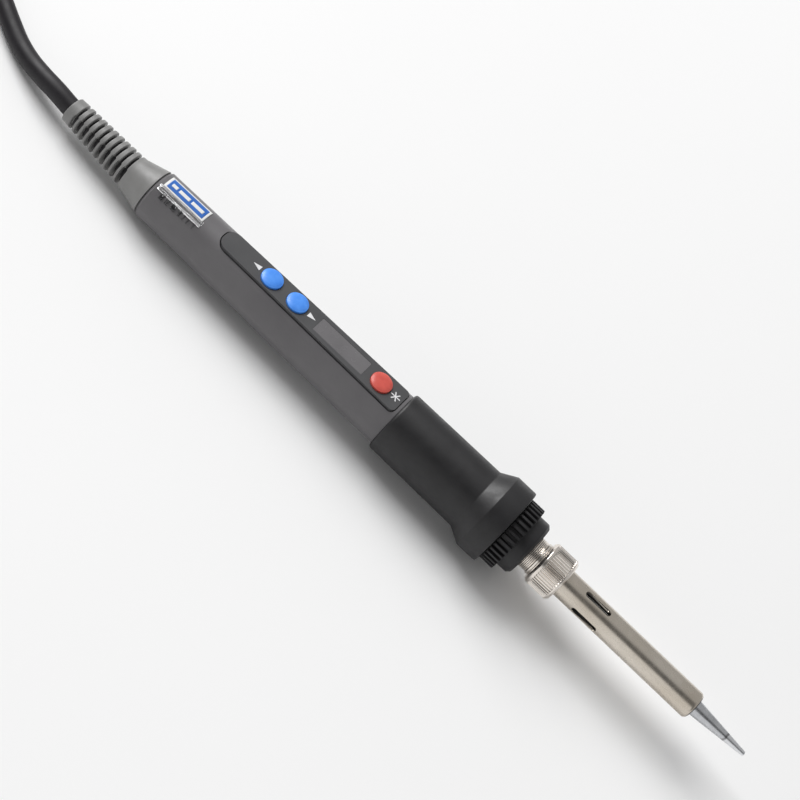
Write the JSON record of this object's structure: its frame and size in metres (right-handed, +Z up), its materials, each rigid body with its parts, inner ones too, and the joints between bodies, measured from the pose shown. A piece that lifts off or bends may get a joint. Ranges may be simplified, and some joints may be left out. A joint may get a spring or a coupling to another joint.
{
  "type": "temperature controlled soldering iron",
  "caption": "Hand-held soldering iron: round handle with display and push buttons, flared rubber grip, slotted metal barrel, conical tip, mains lead and plug.",
  "frame": {"origin": "on the surface the iron lies on, below the middle of its length from the cord boot to the tip, on the iron's centre line", "axes": "+X towards the tip, +Z up away from the surface with the control panel on top; the iron's own axis rises 2.16 degrees towards the tip because the grip's collar is thicker than the handle"},
  "size_m": [0.4596, 0.0622, 0.041],
  "materials": {
    "handle_grey": "fine moulded texture, warm dark grey",
    "screw_steel": "zinc plated",
    "panel_grey": "smooth satin, dark grey",
    "mark_white": "printed",
    "window_grey": "clear window over an unlit grey display",
    "lcd_glass": "unlit display glass",
    "backlight_white": "diffuser",
    "button_blue": "smooth",
    "button_red": "smooth",
    "switch_black": "moulded",
    "switch_metal": "tinned",
    "board_green": "solder mask",
    "chip_black": "moulded epoxy",
    "capacitor_blue": "moulded",
    "wire_brown": "insulation",
    "wire_green": "insulation",
    "wire_white": "woven glass sleeve",
    "boot_grey": "moulded elastomer",
    "clamp_black": "moulded",
    "lead_black": "satin jacket",
    "label_blue": "printed film",
    "grip_rubber": "soft, faint sheen",
    "cap_black": "heat resistant moulding",
    "nickel": "nickel plate",
    "ceramic": "unglazed ceramic",
    "barrel_steel": "bright stainless tube",
    "tip_plating": "iron plate, tinned at the end",
    "tie_black": "plastic strap",
    "plug_black": "moulded",
    "pin_metal": "nickel plated brass"
  },
  "bodies": {
    "handle": {"upper_shell": "handle_grey", "lower_shell": "handle_grey", "shell_screw": "screw_steel", "control_panel": "panel_grey", "panel_marks": "mark_white", "display_window": "window_grey", "lcd_glass": "lcd_glass", "lcd_backlight": "backlight_white", "switch_bodies": "switch_metal", "circuit_board": "board_green", "microcontroller": "chip_black", "triac": "chip_black", "filter_capacitor": "capacitor_blue", "trimmer": "capacitor_blue", "mains_wires": "wire_brown", "earth_wire": "wire_green", "heater_wires": "wire_white", "cord_boot": "boot_grey", "cord_clamp": "clamp_black", "cord_end_piece": "lead_black", "rear_label": "label_blue", "grip_sleeve": "grip_rubber", "threaded_neck": "nickel", "heater_base": "ceramic", "heating_element": "ceramic", "mains_lead": "lead_black", "lead_hank": "lead_black", "hank_tie": "tie_black", "plug_lead": "lead_black", "plug_body": "plug_black", "plug_pins": "pin_metal", "plug_earth_clips": "pin_metal"},
    "down_key": {"down_button": "button_blue", "down_plunger": "switch_black"},
    "up_key": {"up_button": "button_blue", "up_plunger": "switch_black"},
    "power_key": {"power_button": "button_red", "power_plunger": "switch_black"},
    "cap": {"nose_cap": "cap_black"},
    "barrel": {"barrel_tube": "barrel_steel", "soldering_tip": "tip_plating"},
    "nut": {"barrel_nut": "nickel"}
  },
  "joints": [
    {"name": "down_press", "type": "slide", "parent": "handle", "child": "down_key", "axis": [0.0377, 0, -0.9993], "range_m": [0, 0.0004], "stiffness_N_per_m": 1500},
    {"name": "up_press", "type": "slide", "parent": "handle", "child": "up_key", "axis": [0.0377, 0, -0.9993], "range_m": [0, 0.0004], "stiffness_N_per_m": 1500},
    {"name": "power_press", "type": "slide", "parent": "handle", "child": "power_key", "axis": [0.0377, 0, -0.9993], "range_m": [0, 0.0004], "stiffness_N_per_m": 1500},
    {"name": "nose_cap_turn", "type": "hinge", "parent": "handle", "child": "cap", "pos_m": [0.04093, 0, 0.01229], "axis": [0.9993, 0, 0.0377], "continuous": true},
    {"name": "barrel_pull", "type": "slide", "parent": "handle", "child": "barrel", "axis": [0.9993, 0, 0.0377], "range_m": [0, 0.055]},
    {"name": "nut_turn", "type": "hinge", "parent": "barrel", "child": "nut", "pos_m": [0.05292, 0, 0.01274], "axis": [0.9993, 0, 0.0377], "continuous": true}
  ]
}
